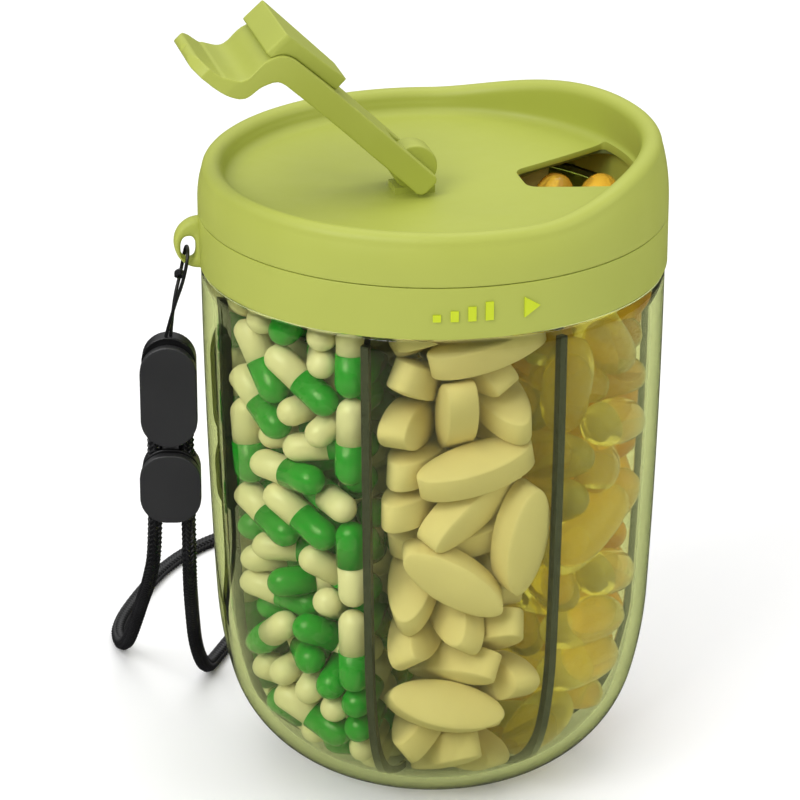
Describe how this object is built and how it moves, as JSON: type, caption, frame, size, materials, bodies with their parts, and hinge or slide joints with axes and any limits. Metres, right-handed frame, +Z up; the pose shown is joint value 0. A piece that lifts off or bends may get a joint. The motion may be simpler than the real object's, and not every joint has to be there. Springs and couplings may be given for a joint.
{
  "type": "travel pill organizer",
  "caption": "Round clear pill organizer with vane-divided compartments, a twist-off collar, a rotating lid with a flip lever over one dispensing opening, and a wrist lanyard.",
  "frame": {"origin": "centre of the cup's flat base, on the surface it stands on", "axes": "+Z up along the cup's axis; +X from the axis towards the lid's dispensing opening and +Y along the lever's hinge axis, at rest"},
  "size_m": [0.1025, 0.1542, 0.1541],
  "materials": {
    "clear_plastic": "clear moulded plastic with a light yellow-green tint, polished",
    "clear_vane": "clear moulded plastic, polished",
    "dark_edge": "dark soft edge strip, satin",
    "seal_silicone": "translucent silicone, satin",
    "green_plastic": "pear green moulded plastic, fine matte texture",
    "green_soft": "pear green soft plastic, matte",
    "marking_green": "bright yellow-green raised marking",
    "spring_steel": "stainless spring wire",
    "pin_steel": "stainless pin",
    "black_string": "thin black braided string",
    "black_plastic": "black moulded plastic, satin",
    "grey_black_plastic": "charcoal moulded plastic, fine matte texture",
    "black_braid": "black braided cord"
  },
  "bodies": {
    "cup": {"clear_cup": "clear_plastic", "divider_hub": "clear_vane", "divider_vane_1": "clear_vane", "divider_vane_2": "clear_vane", "divider_vane_3": "clear_vane", "divider_vane_4": "clear_vane", "divider_vane_5": "clear_vane", "divider_vane_6": "clear_vane", "divider_vane_7": "clear_vane", "vane_edge_1": "dark_edge", "vane_edge_2": "dark_edge", "vane_edge_3": "dark_edge", "vane_edge_4": "dark_edge", "vane_edge_5": "dark_edge", "vane_edge_6": "dark_edge", "vane_edge_7": "dark_edge"},
    "seal": {"cup_seal_ring": "seal_silicone"},
    "collar": {"collar_ring": "green_plastic", "twist_marking": "marking_green", "lanyard_string": "black_string", "connector_back": "black_plastic", "connector_front": "grey_black_plastic", "wrist_cord": "black_braid"},
    "slider": {"slider_back": "black_plastic", "slider_front": "grey_black_plastic"},
    "lid": {"rotating_lid": "green_plastic", "gasket_disc": "seal_silicone", "lid_snap_ring": "spring_steel", "hinge_pin": "pin_steel"},
    "lever": {"lever_arm": "green_plastic", "lever_stopper": "green_soft"}
  },
  "joints": [
    {"name": "lid_lift", "type": "slide", "parent": "cup", "child": "seal", "axis": [0, 0, 1], "range_m": [0, 0.05]},
    {"name": "collar_twist", "type": "hinge", "parent": "seal", "child": "collar", "pos_m": [0, 0, 0.109], "axis": [0, 0, 1], "range_deg": [0, 45]},
    {"name": "slider_slide", "type": "slide", "parent": "collar", "child": "slider", "axis": [0, 0, -1], "range_m": [-0.0006, 0.003]},
    {"name": "lid_turn", "type": "hinge", "parent": "collar", "child": "lid", "pos_m": [0, 0, 0.118], "axis": [0, 0, 1], "continuous": true},
    {"name": "lever_flip", "type": "hinge", "parent": "lid", "child": "lever", "pos_m": [-0.0042, 0, 0.1231], "axis": [0, 1, 0], "range_deg": [-14, 139]}
  ]
}
